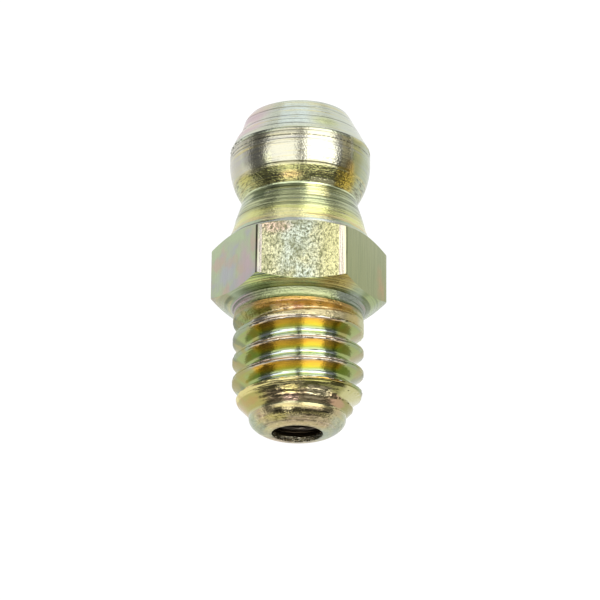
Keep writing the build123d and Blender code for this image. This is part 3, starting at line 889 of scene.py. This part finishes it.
# the end discs go, because the thread and the neck join on there
openMesh(barForm, "FACE", "DESELECT")
pickWhere(barForm.data.polygons, lambda face: abs(face.normal.y) > endFace)
bpy.ops.mesh.delete(type="FACE")
closeMesh()
applyModifier(
    barForm, "BEVEL", width=hexagon["edgeRounding"] * mm, segments=hexagon["edgeRows"],
    limit_method="ANGLE", angle_limit=math.radians(hexagon["sharpAngle"]),
    use_clamp_overlap=False, harden_normals=False,
)
barForm.data.materials.clear()
flatMaterial = makeFinish("Zinc plate, yellow passivated, on drawn hexagon bar", flatPlate)
barForm.data.materials.append(flatMaterial)
barForm.data.materials.append(turnedMaterial)
for face in barForm.data.polygons:
    face.material_index = 1 if abs(face.normal.y) > turnedFace else 0
print("Hexagon cut:", len(barForm.data.polygons), "faces")


selectNothing()
for form in (threadForm, barForm, turnedForm):
    form.select_set(True)
bpy.context.view_layer.objects.active = turnedForm
bpy.ops.object.join()
nippleBody = nameIt("nippleBody")
weld(nippleBody)
takeUp(nippleBody)
bodySmoothing = 22  # degrees between two faces: past it, their edge stays sharp
bpy.ops.object.shade_smooth_by_angle(angle=math.radians(bodySmoothing))
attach(nippleBody, "body")
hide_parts("nipple_body")
print("Body joined:", len(nippleBody.data.polygons), "faces")


ballForm = {"radius": 1.25, "clearance": 0.02, "rows": 32, "columns": 64}
# the ball stands just off its seat, a cone at 45 degrees
seat = bore["boreRadius"] + bore["seatBottom"]
ballHeight = round(seat - (ballForm["radius"] + ballForm["clearance"]) * math.sqrt(2), 3)
ballOutline = arc(0, ballHeight, ballForm["radius"], -90, 90, ballForm["rows"])
checkBall = drawProfile("checkBall", ballOutline)
spinRound(checkBall, ballForm["columns"])
checkBall.data.materials.append(makeFinish("Polished bearing steel", ballSteel))
takeUp(checkBall)
bpy.ops.object.shade_smooth()
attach(checkBall, "ball")
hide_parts("check_ball")

spring = {
    "wireRadius": 0.15, "coilRadius": 1.2, "clearance": 0.02, "travel": 0.8,
    "closedPitch": 0.32, "openTurns": 7, "closedTurns": 1, "sides": 14, "steps": 48, "smoothing": 50,
}
# it stands between the crimped lip, a cone at 45 degrees, and the ball
standOff = spring["wireRadius"] + spring["clearance"]
lip = bore["boreRadius"] - bore["boreStart"]
springStart = round(spring["coilRadius"] - lip + standOff * math.sqrt(2), 4)
underBall = math.sqrt((ballForm["radius"] + standOff) ** 2 - spring["coilRadius"] ** 2)
springEnd = round(ballHeight - underBall, 4)
selectNothing()
bpy.ops.mesh.primitive_circle_add(
    vertices=spring["sides"], radius=spring["wireRadius"] * mm,
    location=(0, 0, spring["coilRadius"] * mm), rotation=(0, math.pi / 2, 0),
)
ballSpring = nameIt("ballSpring")
bpy.ops.object.transform_apply(location=True, rotation=True, scale=True)
springTurns = spring["openTurns"] + 2 * spring["closedTurns"]
applyModifier(
    ballSpring, "SCREW", axis="Y", angle=2 * math.pi, steps=spring["steps"], render_steps=spring["steps"],
    iterations=springTurns, screw_offset=mm, use_merge_vertices=True, merge_threshold=weldGap,
)
openMesh(ballSpring, "EDGE", "DESELECT")
bpy.ops.mesh.select_non_manifold()
bpy.ops.mesh.edge_face_add()
closeMesh()
# the even screw is drawn out: closed coils at the ends, open ones between
places = placesOf(ballSpring)
angle = np.arctan2(places[:, 0], places[:, 2]) / (2 * math.pi) % 1
turn = np.round(places[:, 1] - angle) + angle
turn = np.clip(turn, 0, springTurns)
closedHeight = spring["closedTurns"] * spring["closedPitch"]
wireMiddle = np.interp(
    turn,
    [0, spring["closedTurns"], springTurns - spring["closedTurns"], springTurns],
    [springStart, springStart + closedHeight, springEnd - closedHeight, springEnd],
)
places[:, 1] += wireMiddle - turn
putPlaces(ballSpring, places)
weld(ballSpring)
takeUp(ballSpring)
bpy.ops.object.shade_smooth_by_angle(angle=math.radians(spring["smoothing"]))
ballSpring.data.materials.append(makeFinish("Hard-drawn spring wire", springWire))
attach(ballSpring, "body")
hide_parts("ball_spring")
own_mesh(ballSpring)
print("Ball and spring made:", len(checkBall.data.polygons) + len(ballSpring.data.polygons), "faces")


studio = {  # in mm, with glows as strengths
    "floorHeight": -3.5, "floorSize": 4000, "floorGlow": 1.0, "floorFade": (45, 130), "fadedGlow": 0.55,
    "roomGlow": 0.15, "lampHeight": 500,
}
# softboxes over the table, each (left, near), (right, far) in mm and its glow
softboxes = {
    "leftSoftbox": ((-830, -208), (-44, 310), 1.8), "rightSoftbox": ((48, -187), (830, 310), 2.9),
    "leftScreen": ((-700, 312), (-250, 1080), 1.05), "middleScreen": ((-250, 312), (80, 1080), 0.72),
    "rightScreen": ((80, 312), (720, 1080), 2.8), "frontLamp": ((-370, -580), (-48, -230), 3.2),
    "sideScreen": ((722, 200), (2600, 1500), 0.45),
}
# upright cloths, each (left, foot), (right, top) in mm, its place along the axis and its glow
cloths = {
    "backCloth": ((-520, -3.5), (520, 420), 1100, 1.3),
    "lowCloth": ((-1500, -3.5), (1500, 110), 1102, 1.1),
    "frontCloth": ((-50, 200), (1200, 1400), -900, 0.3),
}


def glowingMaterial(name, glow):
    material = newMaterial(name)
    emission = addNode(material, "Emission", {"Color": linearColour("FFFFFF"), "Strength": glow})
    addNode(material, "OutputMaterial", {"Surface": emission.outputs[0]})
    return material


def floorMaterial():
    # a glowing floor, its glow painted brightest round the nipple and fading outwards as a pool of light,
    # with a dull upper face
    material = newMaterial("Glowing floor with a painted pool of light")
    place = addNode(material, "TexCoord").outputs["Object"]
    away = addNode(material, "VectorMath", {0: place}, operation="LENGTH").outputs["Value"]
    near, far = (distance * mm for distance in studio["floorFade"])
    fade = {
        "Value": away, "From Min": near, "From Max": far,
        "To Min": studio["floorGlow"], "To Max": studio["fadedGlow"],
    }
    glow = addNode(material, "MapRange", fade, interpolation_type="SMOOTHSTEP").outputs[0]
    emission = addNode(material, "Emission", {"Color": linearColour("FFFFFF"), "Strength": glow})
    diffuse = addNode(material, "BsdfDiffuse", {"Color": linearColour("404040")})
    both = addNode(material, "AddShader", {0: diffuse.outputs[0], 1: emission.outputs[0]})
    addNode(material, "OutputMaterial", {"Surface": both.outputs[0]})
    return material


def addScreen(name, low, high, height, material, upright=False):
    # a plain rectangle from one corner to the other, in mm
    selectNothing()
    middle = [(a + b) / 2 * mm for a, b in zip(low, high)]
    place = (middle[0], height * mm, middle[1]) if upright else (*middle, height * mm)
    lean = math.pi / 2 if upright else 0
    bpy.ops.mesh.primitive_plane_add(size=1, location=place, rotation=(lean, 0, 0))
    screen = nameIt(name)
    screen.scale = ((high[0] - low[0]) * mm, (high[1] - low[1]) * mm, 1)
    bpy.ops.object.transform_apply(location=True, rotation=True, scale=True)
    screen.data.materials.append(material)
    screen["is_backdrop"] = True


halfFloor = studio["floorSize"] / 2
nearCorner, farCorner = (-halfFloor, -halfFloor), (halfFloor, halfFloor)
addScreen("floor", nearCorner, farCorner, studio["floorHeight"], floorMaterial())
for name, (low, high, glow) in softboxes.items():
    addScreen(name, low, high, studio["lampHeight"], glowingMaterial(name + " cloth", glow))
for name, (low, high, distance, glow) in cloths.items():
    addScreen(name, low, high, distance, glowingMaterial(name, glow), upright=True)

world = bpy.data.worlds.new("Studio room")
bpy.context.scene.world = world
world.use_nodes = True
roomLight = world.node_tree.nodes["Background"].inputs
roomLight["Color"].default_value = linearColour("FFFFFF")
roomLight["Strength"].default_value = studio["roomGlow"]
bpy.context.scene.view_settings.view_transform = "Standard"

view = {  # in mm and degrees, the clip in metres
    "lookAt": (0, 1.05, 0), "distance": 153.6, "lean": 21.3, "sideways": 1.8, "roll": 0.61,
    "lens": 201.7, "sensor": 36, "aimDown": 0.519, "aimRight": 0.057, "clip": (0.01, 5),
}


def cameraAxes(toCamera, roll):
    right = Vector((0, 1, 0)).cross(toCamera).normalized()
    up = toCamera.cross(right)
    turned = right * math.cos(roll) + up * math.sin(roll)
    return turned, toCamera.cross(turned)


lean, sideways, roll = (math.radians(view[k]) for k in ("lean", "sideways", "roll"))
toCamera = Vector(
    (-math.sin(sideways) * math.cos(lean), -math.sin(lean), math.cos(sideways) * math.cos(lean))
)
right, up = cameraAxes(toCamera, roll)
place = Vector(view["lookAt"]) + toCamera * view["distance"]
aim = Vector(view["lookAt"]) - up * view["aimDown"] + right * view["aimRight"]
toCamera = (place - aim).normalized()
right, up = cameraAxes(toCamera, roll)
selectNothing()
bpy.ops.object.camera_add(location=place * mm)
camera = bpy.context.object
camera.rotation_mode = "QUATERNION"
camera.rotation_quaternion = Matrix((right, up, toCamera)).transposed().to_quaternion()
camera.data.sensor_width = view["sensor"]
camera.data.lens = view["lens"]
camera.data.clip_start, camera.data.clip_end = view["clip"]
bpy.context.scene.camera = camera
print("Studio set up")

low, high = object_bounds()
